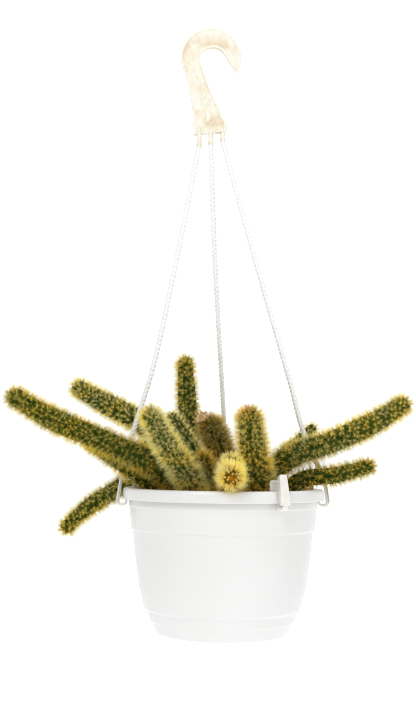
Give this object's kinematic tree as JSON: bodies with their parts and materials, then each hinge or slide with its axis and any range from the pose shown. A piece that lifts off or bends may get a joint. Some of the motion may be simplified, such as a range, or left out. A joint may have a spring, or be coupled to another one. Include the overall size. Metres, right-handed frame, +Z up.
{
  "type": "potted monkey tail cactus in a hanging pot",
  "caption": "Spiny trailing cactus stems growing from soil in a white stepped plastic hanging pot, with rim clips, twisted strands and an open plastic hook",
  "frame": {"origin": "centre of the flat pad in the middle of the pot's underside", "axes": "+Z up through the pot, -Y towards the viewer, +X to the viewer's right"},
  "size_m": [0.3591, 0.2118, 0.553],
  "materials": {
    "pot_plastic": "smooth white, soft sheen",
    "clip_plastic": "smooth warm white",
    "hook_plastic": "ivory, slightly translucent, satin",
    "strand": "white laid cord",
    "soil": "dark crumbly potting soil",
    "stem": "dark green skin under golden spines",
    "dry_flower": "brown papery dried flower"
  },
  "bodies": {
    "root": {"pot": "pot_plastic", "soil": "soil", "clip_left": "clip_plastic", "clip_right": "clip_plastic", "clip_back": "clip_plastic", "clip_front": "clip_plastic", "hook": "hook_plastic", "strand_left": "strand", "strand_middle": "strand", "strand_right": "strand", "stem_long_left": "stem", "stem_back_left": "stem", "stem_low_left": "stem", "stem_drooping": "stem", "stem_upright": "stem", "stem_front_left": "stem", "stem_inner_left": "stem", "stem_middle": "stem", "stem_facing": "stem", "stem_front_right": "stem", "stem_long_right": "stem", "stem_low_right": "stem", "stem_small_right": "stem", "stem_bud_left": "stem", "stem_short_left": "stem", "stem_rear_right": "stem", "stem_rear_left": "stem", "dry_flower": "dry_flower"}
  },
  "joints": []
}
